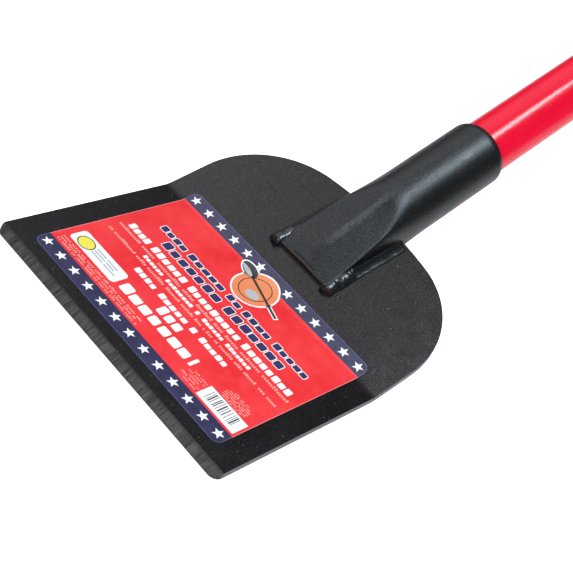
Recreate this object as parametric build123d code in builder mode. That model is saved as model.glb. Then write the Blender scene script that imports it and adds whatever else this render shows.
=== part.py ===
from build123d import *
import math
import os

# Roofing shovel with a flat scraping blade. Millimetres, +Z up.
# Origin: middle of the cutting edge, on the underside of the blade, with the
# front of the blade lying flat on the XY plane. +X runs from the cutting edge
# towards the handle, +Y is the user's left.
#
# Names ending in _S are stations: distances up the handle's axis from the
# point (AXIS_X, AXIS_Z). Names ending in _U are distances up the rear plate
# from the bend line.

INCH = 25.4

# ---------------------------------------------------------------- dimensions
# blade
BLADE_W = 7.5 * INCH
BLADE_T = 4.18             # plate thickness (8 gauge)
BEND_X = 128.9             # cutting edge to the bend line, on the top faces
BEND_DEG = 17.0            # rear of the plate is bent up by this angle
BEND_R = 16.0              # inside radius of the bend
REAR_END_U = 98.1          # crown of the rear edge
REAR_STRAIGHT_U = 32.4     # end of the straight rear sides
REAR_CORNER_R = 62.9       # big corner radius of the rear outline
CROWN_DEG = 13.8           # where the corner arc hands over to the crown arc
BEVEL_RUN = 4.8            # ground bevel, measured back from the edge
EDGE_LAND = 0.7            # height left standing at the cutting edge
FRONT_CORNER_R = 5.5       # rounding of the two front corners in plan

# handle axis
AXIS_DEG = 25.5            # rise of the handle above the front of the blade
AXIS_X, AXIS_Z = 190.5, 20.08

# socket tube
TUBE_R = 1.75 * INCH / 2
TUBE_WALL = 3.05
MOUTH_S = 125.7            # mouth of the socket
TONGUE_U = 28.6            # front edge of the upper tongue
LOWER_TONGUE_U = 44.0      # front edge of the lower tongue

# handle: a tube lined with a second tube, plugged at the socket end
HANDLE_R = 1.5 * INCH / 2
HANDLE_WALL = 3.45
LINER_WALL = 2.5
NEST_GAP = 0.1             # radial gap between the nested pieces
HANDLE_S = 56.0            # lower end of the handle, inside the socket
HANDLE_L = 48 * INCH
PLUG_L = 96.0
PLUG_CHAMFER = 1.2

# rivet through the socket, from below
RIVET_S = 92.0
RIVET_R = 3.2              # radius of the hole
RIVET_GAP = 0.05           # radial gap between shank and hole
RIVET_HEAD_R = 6.2
RIVET_HEAD_H = 2.4
RIVET_TIP = -4.0           # tip, below the axis; negative lies above it
RIVET_SINK = 2.0           # head starts this far inside the tube's radius
RIVET_SEAT_GAP = 0.02      # gap between head and tube
RIVET_LAP = 0.3            # shank reaches this far into the head
HOLE_DEPTH = 30.0

# end cap
CAP_R = 20.7
CAP_L = 42.0
CAP_END = 5.0              # the closed end stands this far past the handle
CAP_ROUND = 4.5            # rounding of the closed end
CAP_SIDE_GAP = 0.06        # radial gap around the handle
CAP_END_GAP = 0.3          # gap beyond the handle's end
# raised lip: (distance from the cap's mouth, height over CAP_R)
CAP_LIP = [(0, 0.2), (1.2, 0.8), (3.4, 0.8), (4.4, 0)]

# weld beads
WELD_R = 4.7               # radius of the beads along the tongue
WELD_Y = 21.3              # distance of the bead's centre line from the middle
WELD_LEAD = 3.6            # beads start this far in front of the tongue
WELD_END_U = 94.6
LUMP_R = 5.8               # heavier start of each bead
LUMP_Y = 22.3

# label
LABEL_T = 0.18
LABEL_X = 13.3             # front edge
LABEL_REAR_U = 11.6        # rear edge
LABEL_W = 159.6
LABEL_R = 5.0

# -------------------------------------------------------------------- frames
bend_cos = math.cos(math.radians(BEND_DEG))
bend_sin = math.sin(math.radians(BEND_DEG))
axis_cos = math.cos(math.radians(AXIS_DEG))
axis_sin = math.sin(math.radians(AXIS_DEG))

# top face of the rear plate, local x running up the plate
rear_top = Plane(
    origin=(BEND_X, 0, BLADE_T), x_dir=(bend_cos, 0, bend_sin), z_dir=(-bend_sin, 0, bend_cos)
)


def rear_point(behind, height=0.0):
    """(x, z) of a point behind the bend line, at a height off the top face."""
    return (
        BEND_X + behind * bend_cos - height * bend_sin,
        BLADE_T + behind * bend_sin + height * bend_cos,
    )


def rear_cross(behind):
    """Plane across the rear plate; local x is +Y, local y stands square off
    the plate."""
    x, z = rear_point(behind)
    return Plane(origin=(x, 0, z), x_dir=(0, 1, 0), z_dir=(bend_cos, 0, bend_sin))


def axis_point(station):
    return (AXIS_X + station * axis_cos, 0, AXIS_Z + station * axis_sin)


def axis_cross(station):
    """Plane square to the handle's axis; local x is +Y, local y is upwards."""
    return Plane(origin=axis_point(station), x_dir=(0, 1, 0), z_dir=(axis_cos, 0, axis_sin))


# square to the axis at the rivet, facing down
rivet_plane = Plane(
    origin=axis_point(RIVET_S), x_dir=(0, 1, 0), z_dir=(axis_sin, 0, -axis_cos)
)

# side view through the handle's axis: local x along the axis
axis_side = Plane(
    origin=(AXIS_X, 0, AXIS_Z), x_dir=(axis_cos, 0, axis_sin), z_dir=(0, -1, 0)
)


# -------------------------------------------------------- shared plate shapes
def bend_arc(radius):
    """Front, middle and rear (x, z) points of the bend at a given radius."""
    x_centre = BEND_X - BEND_R * math.tan(math.radians(BEND_DEG / 2))
    z_centre = BLADE_T + BEND_R
    return [
        (x_centre + radius * math.sin(angle), z_centre - radius * math.cos(angle))
        for angle in (0.0, math.radians(BEND_DEG / 2), math.radians(BEND_DEG))
    ]


def corner_offcut(x_edge, y_edge, inward, side, radius, margin):
    """Polyline and arc points around the waste outside a rounded corner.
    The material lies towards inward * x and -side * y from the corner."""
    x_tangent = x_edge + inward * radius
    y_tangent = y_edge - side * radius
    sagitta = radius * (1 - math.sqrt(0.5))
    border = [
        (x_tangent, y_edge),
        (x_tangent, y_edge + side * margin),
        (x_edge - inward * margin, y_edge + side * margin),
        (x_edge - inward * margin, y_tangent),
        (x_edge, y_tangent),
    ]
    arc = [
        (x_edge, y_tangent),
        (x_edge + inward * sagitta, y_edge - side * sagitta),
        (x_tangent, y_edge),
    ]
    return border, arc


# --------------------------------------------------------------------- blade
top_arc = bend_arc(BEND_R)
bottom_arc = bend_arc(BEND_R + BLADE_T)


def rear_corner_point(angle):
    """Point on the left corner arc of the rear outline, in rear_top."""
    return (
        REAR_STRAIGHT_U + REAR_CORNER_R * math.cos(angle),
        BLADE_W / 2 - REAR_CORNER_R + REAR_CORNER_R * math.sin(angle),
    )


crown_angle = math.radians(CROWN_DEG)
crown_left = rear_corner_point(crown_angle)
crown_right = (crown_left[0], -crown_left[1])
corner_left = rear_corner_point((math.pi / 2 + crown_angle) / 2)
corner_right = (corner_left[0], -corner_left[1])
side_left = (REAR_STRAIGHT_U, BLADE_W / 2)
side_right = (REAR_STRAIGHT_U, -BLADE_W / 2)
waste_x = REAR_END_U + 15
waste_y = BLADE_W / 2 + 5

with BuildPart() as blade:
    # side profile of the bent plate, pulled out to both sides
    with BuildSketch(Plane.XZ):
        with BuildLine():
            Polyline(
                bottom_arc[0], (0, 0), (0, EDGE_LAND), (BEVEL_RUN, BLADE_T), top_arc[0]
            )
            ThreePointArc(*top_arc)
            Polyline(
                top_arc[2],
                rear_point(REAR_END_U),
                rear_point(REAR_END_U, -BLADE_T),
                bottom_arc[2],
            )
            ThreePointArc(*reversed(bottom_arc))
        make_face()
    extrude(amount=BLADE_W / 2, both=True)
    # cut the rear outline: two corner arcs joined by a crown arc
    with BuildSketch(rear_top):
        with BuildLine():
            Polyline(
                side_left,
                (REAR_STRAIGHT_U, waste_y),
                (waste_x, waste_y),
                (waste_x, -waste_y),
                (REAR_STRAIGHT_U, -waste_y),
                side_right,
            )
            ThreePointArc(side_right, corner_right, crown_right)
            ThreePointArc(crown_right, (REAR_END_U, 0), crown_left)
            ThreePointArc(crown_left, corner_left, side_left)
        make_face()
    extrude(amount=15, both=True, mode=Mode.SUBTRACT)
    # round the two front corners in plan
    for side in (1, -1):
        border, arc = corner_offcut(0, side * BLADE_W / 2, 1, side, FRONT_CORNER_R, 2)
        with BuildSketch(Plane.XY):
            with BuildLine():
                Polyline(*border)
                ThreePointArc(*arc)
            make_face()
        extrude(amount=10, both=True, mode=Mode.SUBTRACT)

# -------------------------------------------------------------------- socket
# The tube is round from the mouth down towards the blade, and its slotted
# front end is pressed flat onto both faces of the plate. Each pressed section
# is a closed curve: a rounded-square body limited by a low gable above the
# plate and another below it. Section points are (y, z) in axis_cross, with z
# measured up from the handle's axis.

# Tables of (station, value), read with smooth interpolation.
# ridge height above the axis, top side
RIDGE = [(-36.5, 12.2), (-29, 13.4), (-22, 14.6), (-14, 15.5), (-6, 16.3), (9, 17.9), (25, 19.8),
         (34, 21.6), (42, 25.0), (50, 31.0), (60, 42.0), (70, 60.0)]
# depth of the ridge below the axis, underside
KEEL = [(-36.5, -0.2), (-28, 0.9), (-20, 2.1), (-12, 3.6), (0, 7.8), (14, 13.2), (28, 18.4),
        (36, 22.4), (44, 28.0), (52, 36.0), (60, 46.0), (70, 60.0)]
# squareness of the body: 2 is round
SQUARE = [(-36.5, 4.2), (-21, 3.6), (-8.6, 3.3), (5.7, 3.05), (16, 2.95), (25, 2.55), (35, 2.27),
          (44, 2.08), (52, 2.0), (70, 2.0)]
# crispness of the crease between body and gable: high is sharp
CRISP = [(-36.5, 60), (20, 60), (34, 30), (46, 12), (60, 8), (70, 8)]
# fall of the gable from its ridge to the crease, upper and lower side
GABLE_UP = [(-36.5, 0.04), (-29, 0.09), (-21, 0.14), (-10, 0.15), (70, 0.15)]
GABLE_LOW = [(-36.5, 0.03), (-14, 0.03), (4, 0.12), (20, 0.15), (70, 0.15)]

# the rim is turned in over the last few millimetres: (station, outer radius)
MOUTH_RIM = [(120.3, TUBE_R), (121.4, 22.02), (122.4, 21.74), (123.3, 21.36),
             (124.1, 20.92), (124.8, 20.42), (125.3, 20.0), (MOUTH_S, 19.65)]

FRONT_S = -36.5            # front end of the pressed tube, before trimming
STEPS_S = -34.0            # first of the evenly spaced stations
STEP = 2.5
STEP_COUNT = 40
ROUND_S = STEPS_S + STEP * STEP_COUNT  # the tube is round from here up
FADE_S = 36.0              # section's centre moves from plate to axis from here up

SECTION_POINTS = 64
QUARTER = SECTION_POINTS // 4
DENSE = 240                # steps in the fine trace of each quadrant
CROWD = 3.5                # extra point density at the crease
CROWD_REACH = 1.6          # distance over which points crowd at the crease
CROWD_END_S, CROWD_FADE = 50, 30  # crowding fades out over this run, up to the station

# height of the plate's mid-plane over the axis, at station 0 and per unit
tilt = math.radians(AXIS_DEG - BEND_DEG)
axis_over_plate = -(AXIS_X - BEND_X) * bend_sin + (AXIS_Z - BLADE_T) * bend_cos
plate_mid = -(axis_over_plate + BLADE_T / 2) / math.cos(tilt)
plate_mid_slope = -math.tan(tilt)


def clamp(value):
    return max(0.0, min(1.0, value))


def table(rows, station):
    """Cubic interpolation through (station, value) rows, with the slope at
    each inner row taken between its neighbours."""
    if station <= rows[0][0]:
        return rows[0][1]
    for i in range(len(rows) - 1):
        (start, value0), (end, value1) = rows[i], rows[i + 1]
        if station <= end:
            span = end - start
            slope0 = slope1 = (value1 - value0) / span
            if i:
                slope0 = (value1 - rows[i - 1][1]) / (end - rows[i - 1][0])
            if i + 2 < len(rows):
                slope1 = (rows[i + 2][1] - value0) / (rows[i + 2][0] - start)
            part = (station - start) / span
            return (
                (2 * part**3 - 3 * part**2 + 1) * value0
                + (part**3 - 2 * part**2 + part) * span * slope0
                + (-2 * part**3 + 3 * part**2) * value1
                + (part**3 - part**2) * span * slope1
            )
    return rows[-1][1]


def bisect(inside, high, steps):
    """Largest value from 0 to high for which inside(value) holds."""
    low = 0.0
    for _ in range(steps):
        middle = (low + high) / 2
        if inside(middle):
            low = middle
        else:
            high = middle
    return low


def round_section(station, inset):
    """Circle of points, following the turned-in rim."""
    radius = TUBE_R - inset
    for (start, radius0), (end, radius1) in zip(MOUTH_RIM, MOUTH_RIM[1:]):
        if start <= station <= end:
            rim = radius0 + (radius1 - radius0) * (station - start) / (end - start)
            radius = min(radius, rim)
    angles = [2 * math.pi * i / SECTION_POINTS for i in range(SECTION_POINTS)]
    return [(radius * math.cos(angle), radius * math.sin(angle)) for angle in angles]


def spread_points(dense, crease, crowd):
    """QUARTER + 1 points along a dense trace, closer together around the
    point with index crease."""
    run = [0.0]
    for before, point in zip(dense, dense[1:]):
        run.append(run[-1] + math.hypot(point[0] - before[0], point[1] - before[1]))
    weight = [0.0]
    for i in range(1, len(run)):
        near = math.exp(-(((run[i] - run[crease]) / CROWD_REACH) ** 2))
        weight.append(weight[-1] + (run[i] - run[i - 1]) * (1 + crowd * near))
    spread = []
    j = 1
    for i in range(QUARTER + 1):
        goal = weight[-1] * i / QUARTER
        while j < DENSE and weight[j] < goal:
            j += 1
        part = clamp((goal - weight[j - 1]) / (weight[j] - weight[j - 1]))
        (y0, z0), (y1, z1) = dense[j - 1], dense[j]
        spread.append((y0 + part * (y1 - y0), z0 + part * (z1 - z0)))
    return spread


def pressed_section(station, inset):
    """Section over the pressed length, counter-clockwise from its +Y side."""
    square = table(SQUARE, station)
    crisp = table(CRISP, station)
    fade = clamp((station - FADE_S) / (ROUND_S - FADE_S))
    centre = (plate_mid + plate_mid_slope * station) * (1 - fade * fade * (3 - 2 * fade))
    top = table(RIDGE, station) - centre - inset
    low = table(KEEL, station) + centre - inset
    fall_up, fall_low = table(GABLE_UP, station), table(GABLE_LOW, station)
    radius = TUBE_R - inset
    crowd = CROWD * clamp((CROWD_END_S - station) / CROWD_FADE)

    def body(y, z):
        return ((abs(y) / radius) ** square + (abs(z) / radius) ** square) ** (1 / square)

    def measure(y, z):
        """Above 1 outside the section, below 1 inside."""
        height = z - centre
        roof = max(0.0, height + fall_up * abs(y)) / top
        keel = max(0.0, -height + fall_low * abs(y)) / low
        return (body(y, z) ** crisp + roof**crisp + keel**crisp) ** (1 / crisp)

    def quadrant(sign):
        """Points from the +Y side to the ridge (sign 1) or the keel (-1)."""
        limit, fall = (top, fall_up) if sign > 0 else (low, fall_low)
        dense = []
        for i in range(DENSE + 1):
            # angles crowd towards the side when the section is flat
            turn = math.pi / 2 * (i / DENSE)
            angle = math.atan2(limit / radius * math.sin(turn), math.cos(turn))
            dy, dz = math.cos(angle), sign * math.sin(angle)
            reach = bisect(
                lambda r: measure(r * dy, centre + r * dz) <= 1, high=3 * radius, steps=36
            )
            dense.append((reach * dy, centre + reach * dz))

        # the crease is the dense point nearest the corner of body and gable
        def gable(y):
            return centre + sign * (limit - fall * y)

        corner_y = bisect(lambda y: body(y, gable(y)) <= 1, high=radius * 1.2, steps=40)
        corner_z = gable(corner_y)
        crease = min(
            range(DENSE + 1),
            key=lambda i: math.hypot(dense[i][0] - corner_y, dense[i][1] - corner_z),
        )
        return spread_points(dense, crease, crowd)

    upper, lower = quadrant(1), quadrant(-1)
    return (
        upper[:QUARTER]
        + [(0.0, upper[QUARTER][1])]
        + [(-y, z) for y, z in upper[QUARTER - 1 :: -1]]
        + [(-y, z) for y, z in lower[1:QUARTER]]
        + [(0.0, lower[QUARTER][1])]
        + lower[QUARTER - 1 : 0 : -1]
    )


def tube_body(inset, first, last):
    """Solid bar with the tube's changing section, inset from the outer
    surface: short straight steps over the pressed length, then on to the
    stations in last. Each section is two curves that meet at the ridge and
    at the keel."""
    steps = [STEPS_S + STEP * i for i in range(STEP_COUNT + 1)]
    half = 2 * QUARTER
    rings = []
    for station in [first] + steps + last:
        section = round_section if station >= ROUND_S else pressed_section
        plane = axis_cross(station)
        points = [plane.from_local_coords(point) for point in section(station, inset)]
        # start at the keel
        points = points[-QUARTER:] + points[:-QUARTER]
        with BuildLine() as ring:
            for side in (points[: half + 1], points[half:] + points[:1]):
                # end tangents from the three points at each end
                add(
                    Edge.make_spline(
                        side,
                        tangents=[
                            ((side[1] - side[0]) * 4 - (side[2] - side[0])) * (half / 2),
                            ((side[-1] - side[-2]) * 4 - (side[-1] - side[-3])) * (half / 2),
                        ],
                        parameters=[i / half for i in range(half + 1)],
                        scale=False,
                    )
                )
        rings.append(ring.wire())
    with BuildPart() as bar:
        add(Solid.make_loft(rings, ruled=True))
    return bar.part


outer_body = tube_body(0.0, FRONT_S, [station for station, _ in MOUTH_RIM])
inner_body = tube_body(TUBE_WALL, FRONT_S - 1, [MOUTH_S + 2])

# space in front of the two tongues, above and below the plate
with BuildPart() as trim_front:
    for tongue, length, height in ((TONGUE_U, 60, 40), (LOWER_TONGUE_U, 100, -60)):
        with BuildSketch(rear_top):
            with Locations((tongue - length / 2, 0)):
                Rectangle(length, 80)
        extrude(amount=height)

with BuildPart() as socket:
    add(outer_body)
    add(inner_body, mode=Mode.SUBTRACT)
    add(trim_front.part, mode=Mode.SUBTRACT)
    add(blade.part, mode=Mode.SUBTRACT)
    # rivet hole in the lower wall
    with BuildSketch(rivet_plane):
        Circle(RIVET_R)
    extrude(amount=HOLE_DEPTH, mode=Mode.SUBTRACT)


# --------------------------------------------------------------------- welds
def bead(side, face, tongue):
    """Fillet bead between the plate and one side of a tongue (+1 left, -1
    right), on the upper (face = 1) or lower (face = -1) face of the plate,
    heavier where it starts at the tongue's front corner."""
    level = 0.0 if face > 0 else -BLADE_T
    start = tongue - WELD_LEAD
    with BuildPart() as weld:
        with BuildSketch(rear_cross(start + WELD_R)):
            with Locations((side * WELD_Y, level)):
                Circle(WELD_R)
        extrude(amount=WELD_END_U - start - 2 * WELD_R)
        with Locations(rear_top):
            with Locations(
                (start + WELD_R, side * WELD_Y, level),
                (WELD_END_U - WELD_R, side * WELD_Y, level),
            ):
                Sphere(WELD_R)
            with Locations((start + LUMP_R, side * LUMP_Y, level)):
                Sphere(LUMP_R)
        # keep only what stands on the plate, outside the tube
        with BuildSketch(rear_top.offset(level)):
            Rectangle(300, 120)
        extrude(amount=-20 * face, mode=Mode.SUBTRACT)
        add(outer_body, mode=Mode.SUBTRACT)
        add(blade.part, mode=Mode.SUBTRACT)
    return weld.part


welds = {
    f"weld_{face_name}_{side_name}": bead(side, face, tongue)
    for face_name, face, tongue in (("top", 1, TONGUE_U), ("under", -1, LOWER_TONGUE_U))
    for side_name, side in (("left", 1), ("right", -1))
}

# -------------------------------------------------------------------- handle
handle_bore_r = HANDLE_R - HANDLE_WALL
liner_r = handle_bore_r - NEST_GAP
liner_bore_r = liner_r - LINER_WALL


def handle_tube(radius, bore_radius):
    """Full-length tube with the rivet hole in its lower wall."""
    with BuildPart() as tube:
        with BuildSketch(axis_cross(HANDLE_S)):
            Circle(radius)
            Circle(bore_radius, mode=Mode.SUBTRACT)
        extrude(amount=HANDLE_L)
        with BuildSketch(rivet_plane):
            Circle(RIVET_R)
        extrude(amount=HOLE_DEPTH, mode=Mode.SUBTRACT)
    return tube.part


with BuildPart() as handle_plug:
    with BuildSketch(axis_cross(HANDLE_S)):
        Circle(liner_bore_r - NEST_GAP)
    extrude(amount=PLUG_L)
    chamfer(handle_plug.edges().filter_by(GeomType.CIRCLE), PLUG_CHAMFER)
    with BuildSketch(rivet_plane.offset(RIVET_TIP)):
        Circle(RIVET_R)
    extrude(amount=HOLE_DEPTH, mode=Mode.SUBTRACT)

# --------------------------------------------------------------------- rivet
# low round head seated on the tube, shank through the tube and the handle
SEAT_L = 30.0              # length of the cylinder that shapes the seat

with BuildPart() as socket_rivet:
    with BuildSketch(rivet_plane.offset(TUBE_R - RIVET_SINK)):
        Circle(RIVET_HEAD_R)
    extrude(amount=RIVET_SINK + RIVET_HEAD_H)
    # the lowest edge is the rim of the head's outer face
    head_rim = socket_rivet.edges().filter_by(GeomType.CIRCLE).sort_by(Axis.Z)[0]
    fillet(head_rim, RIVET_HEAD_H * 0.85)
    with BuildSketch(axis_cross(RIVET_S - SEAT_L / 2)):
        Circle(TUBE_R + RIVET_SEAT_GAP)
    extrude(amount=SEAT_L, mode=Mode.SUBTRACT)
    with BuildSketch(rivet_plane.offset(RIVET_TIP)):
        Circle(RIVET_R - RIVET_GAP)
    extrude(amount=TUBE_R + RIVET_LAP - RIVET_TIP)

# ------------------------------------------------------------------- end cap
handle_end = HANDLE_S + HANDLE_L
cap_end = handle_end + CAP_END
cap_mouth = cap_end - CAP_L
cap_bore_r = HANDLE_R + CAP_SIDE_GAP
cap_floor = handle_end + CAP_END_GAP
cap_sagitta = CAP_ROUND * (1 - math.sqrt(0.5))

with BuildPart() as end_cap:
    # half section: along the axis, radius
    with BuildSketch(axis_side):
        with BuildLine():
            Polyline(
                (cap_floor, 0),
                (cap_floor, cap_bore_r),
                (cap_mouth, cap_bore_r),
                *[(cap_mouth + along, CAP_R + rise) for along, rise in CAP_LIP],
                (cap_end - CAP_ROUND, CAP_R),
            )
            ThreePointArc(
                (cap_end - CAP_ROUND, CAP_R),
                (cap_end - cap_sagitta, CAP_R - cap_sagitta),
                (cap_end, CAP_R - CAP_ROUND),
            )
            Polyline((cap_end, CAP_R - CAP_ROUND), (cap_end, 0), (cap_floor, 0))
        make_face()
    revolve(axis=Axis(axis_side.origin, axis_side.x_dir))

# --------------------------------------------------------------------- label
# thin sheet stuck over the bend, with rounded corners
label_arc = bend_arc(BEND_R - LABEL_T)

with BuildPart() as blade_label:
    with BuildSketch(Plane.XZ.offset(LABEL_W / 2)):
        with BuildLine():
            Polyline(
                label_arc[0], (LABEL_X, BLADE_T + LABEL_T), (LABEL_X, BLADE_T), top_arc[0]
            )
            ThreePointArc(*top_arc)
            Polyline(
                top_arc[2],
                rear_point(LABEL_REAR_U),
                rear_point(LABEL_REAR_U, LABEL_T),
                label_arc[2],
            )
            ThreePointArc(*reversed(label_arc))
        make_face()
    extrude(amount=-LABEL_W)
    # round the four corners
    for plane, x_edge, inward in (
        (Plane.XY.offset(BLADE_T), LABEL_X, 1),
        (rear_top, LABEL_REAR_U, -1),
    ):
        for side in (1, -1):
            border, arc = corner_offcut(x_edge, side * LABEL_W / 2, inward, side, LABEL_R, 1)
            with BuildSketch(plane):
                with BuildLine():
                    Polyline(*border)
                    ThreePointArc(*arc)
                make_face()
            extrude(amount=3, both=True, mode=Mode.SUBTRACT)

# -------------------------------------------------------------------- export
parts = {
    "blade": blade.part,
    "socket": socket.part,
    **welds,
    "handle_outer_tube": handle_tube(HANDLE_R, handle_bore_r),
    "handle_inner_tube": handle_tube(liner_r, liner_bore_r),
    "handle_plug": handle_plug.part,
    "socket_rivet": socket_rivet.part,
    "end_cap": end_cap.part,
    "blade_label": blade_label.part,
}

os.makedirs("parts", exist_ok=True)
for name, part in parts.items():
    part.label = name
    export_step(part, f"parts/{name}.step")
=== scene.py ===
# A long-handled tool: a flat steel blade bent up at the rear, a tubular socket
# welded onto the bent plate, a red fibreglass handle, and a printed label.
# Frame: metres, +Z up. The ground front edge lies along Y at x = 0, +X runs back
# to the handle, which climbs in the XZ plane; +Y is the left side. The blade's
# underside is at z = 0.
# Lengths are in millimetres, turned into metres where the meshes are made;
# materials, floor, lights and camera are in metres.
import math
import random

import bmesh
import bpy
from mathutils import Matrix, Vector, noise


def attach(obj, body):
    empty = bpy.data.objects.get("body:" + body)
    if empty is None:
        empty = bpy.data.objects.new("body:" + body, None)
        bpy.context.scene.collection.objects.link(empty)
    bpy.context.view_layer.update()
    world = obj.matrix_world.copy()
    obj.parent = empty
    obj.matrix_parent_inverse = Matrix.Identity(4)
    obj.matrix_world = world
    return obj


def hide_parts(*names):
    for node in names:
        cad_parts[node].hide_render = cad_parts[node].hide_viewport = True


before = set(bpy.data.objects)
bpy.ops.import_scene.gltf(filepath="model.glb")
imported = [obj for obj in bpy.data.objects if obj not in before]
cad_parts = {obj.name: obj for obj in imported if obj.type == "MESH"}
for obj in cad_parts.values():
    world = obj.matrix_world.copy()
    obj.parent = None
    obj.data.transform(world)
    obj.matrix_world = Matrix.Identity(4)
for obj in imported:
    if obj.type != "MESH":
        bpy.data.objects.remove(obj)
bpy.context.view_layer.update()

MM = 0.001

# ------------------------------------------------------------------ dimensions
BLADE_T = 4.18                    # plate thickness
BLADE_W = 190.5
CORNER_R = 5.5                    # front corners, seen from above
BEVEL_RUN, BEVEL_LAND = 4.8, 0.7  # ground front: length along x, height of its blunt edge
BEND_X, BEND_R = 128.9, 16.0      # bend line, and radius of the top face
BEND_ANGLE = math.radians(17.0)
BEND_COS, BEND_SIN = math.cos(BEND_ANGLE), math.sin(BEND_ANGLE)
BEND_TANGENT = BEND_R * math.tan(BEND_ANGLE / 2)
ARC_X = BEND_X - BEND_TANGENT     # where the bend starts
ARC_LEN = BEND_R * BEND_ANGLE
HANDLE_ANGLE = math.radians(25.5)

LABEL_FRONT = 13.3                # distances from the edge, along the face
LABEL_REAR = ARC_X + ARC_LEN + 11.6 - BEND_TANGENT
LABEL_HALF_W = 79.8
LABEL_R = 5.0
BAND_FRONT, BAND_REAR = 25.0, 130.15  # inner limits of the two dark bands
SHEET_FOOT, SHEET_T = 0.02, 0.17
SHEET_TOP = 0.185                 # top of the sheet, with its unevenness


def on_top(d, y, h):
    """Point over the blade's top face: d is the distance from the front
    edge measured along the bent face, h the height above it."""
    if d < ARC_X:
        return Vector((d, y, BLADE_T + h))
    r = BEND_R - h
    if d < ARC_X + ARC_LEN:
        a = (d - ARC_X) / BEND_R
        return Vector((ARC_X + r * math.sin(a), y, BLADE_T + BEND_R - r * math.cos(a)))
    past = d - ARC_X - ARC_LEN
    return Vector((ARC_X + r * BEND_SIN + past * BEND_COS, y,
                   BLADE_T + BEND_R - r * BEND_COS + past * BEND_SIN))


def on_rear(u, y, h):
    """Point over the rear plate's top face, u behind the bend line."""
    return Vector((BEND_X + u * BEND_COS - h * BEND_SIN, y,
                   BLADE_T + u * BEND_SIN + h * BEND_COS))


def corner_half(half, radius, inset):
    """Half width of a rounded outline, inset in from its front or rear end."""
    if inset < radius:
        return half - radius + math.sqrt(max(0.0, radius**2 - (radius - inset) ** 2))
    return half


# ---------------------------------------------------------------- node helpers
def connect(tree, value, socket):
    """Link a socket, or set a plain value. Colours get their alpha here."""
    if hasattr(value, "links"):
        tree.links.new(value, socket)
    elif socket.type == "RGBA" and len(value) == 3:
        socket.default_value = (*value, 1.0)
    else:
        socket.default_value = value


def add_node(tree, kind, inputs=None, **settings):
    node = tree.nodes.new("ShaderNode" + kind)
    for key, value in settings.items():
        setattr(node, key, value)
    for key, value in (inputs or {}).items():
        connect(tree, value, node.inputs[key])
    return node


class Mat:
    """A node material, with short calls that add nodes and return a socket."""

    SOCKETS = {
        "colour": "Base Color", "rough": "Roughness", "metal": "Metallic",
        "normal": "Normal", "coat": "Coat Weight", "coat_rough": "Coat Roughness",
        "spec": "Specular IOR Level", "tint": "Specular Tint",
    }

    def __init__(self, name, by_uv=False):
        self.material = bpy.data.materials.new(name)
        self.material.use_nodes = True
        self.tree = self.material.node_tree
        self.tree.nodes.clear()
        self.out = self.node("OutputMaterial")
        self.shader = self.node("BsdfPrincipled")
        connect(self.tree, self.shader.outputs[0], self.out.inputs[0])
        if by_uv:
            self.place = self.node("UVMap").outputs[0]
        else:
            self.place = self.node("TexCoord").outputs["Object"]

    def node(self, kind, inputs=None, **settings):
        return add_node(self.tree, kind, inputs, **settings)

    def mapped(self, scale=(1, 1, 1), turn=(0, 0, 0), at=None):
        return self.node("Mapping", {"Vector": at or self.place, "Rotation": turn,
                                     "Scale": scale}).outputs[0]

    def noise(self, scale, detail=2.0, rough=0.5, warp=0.0, at=None):
        return self.node("TexNoise", {
            "Vector": at or self.place, "Scale": scale, "Detail": detail,
            "Roughness": rough, "Distortion": warp}).outputs[0]

    def streaks(self, scale, detail=2.0, rough=0.5, warp=0.0, at=None):
        """Noise with its own scale on each axis."""
        return self.noise(1.0, detail, rough, warp, at=self.mapped(scale, at=at))

    def cells(self, scale):
        return self.node("TexVoronoi", {"Vector": self.place, "Scale": scale}).outputs["Distance"]

    def op(self, kind, a, b=0.0):
        return self.node("Math", {0: a, 1: b}, operation=kind).outputs[0]

    def add(self, a, b):
        return self.op("ADD", a, b)

    def sub(self, a, b):
        return self.op("SUBTRACT", a, b)

    def mul(self, a, b):
        return self.op("MULTIPLY", a, b)

    def range(self, value, span, to=(0.0, 1.0), smooth=False):
        return self.node("MapRange", {
            "Value": value, "From Min": span[0], "From Max": span[1],
            "To Min": to[0], "To Max": to[1],
        }, interpolation_type="SMOOTHSTEP" if smooth else "LINEAR").outputs[0]

    def mix(self, factor, a, b, kind="MIX"):
        return self.node("Mix", {0: factor, 6: a, 7: b},
                         data_type="RGBA", blend_type=kind).outputs[2]

    def xyz(self, at=None):
        return self.node("SeparateXYZ", {0: at or self.place}).outputs[:]

    def bump(self, height, strength, distance, after=None):
        inputs = {"Strength": strength, "Distance": distance, "Height": height}
        if after is not None:
            inputs["Normal"] = after
        return self.node("Bump", inputs).outputs[0]

    def rounded(self, radius):
        """Normal with rounded edges."""
        return self.node("Bevel", {"Radius": radius}, samples=6).outputs[0]

    def edge_mask(self, rounded):
        """1 where the rounded normal leaves the true one, at edges."""
        flat = self.node("NewGeometry").outputs["Normal"]
        dot = self.node("VectorMath", {0: rounded, 1: flat}, operation="DOT_PRODUCT")
        return self.range(dot.outputs["Value"], span=(0.995, 0.88))

    def finish(self, **values):
        for key, value in values.items():
            connect(self.tree, value, self.shader.inputs[self.SOCKETS[key]])
        return self.material


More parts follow.
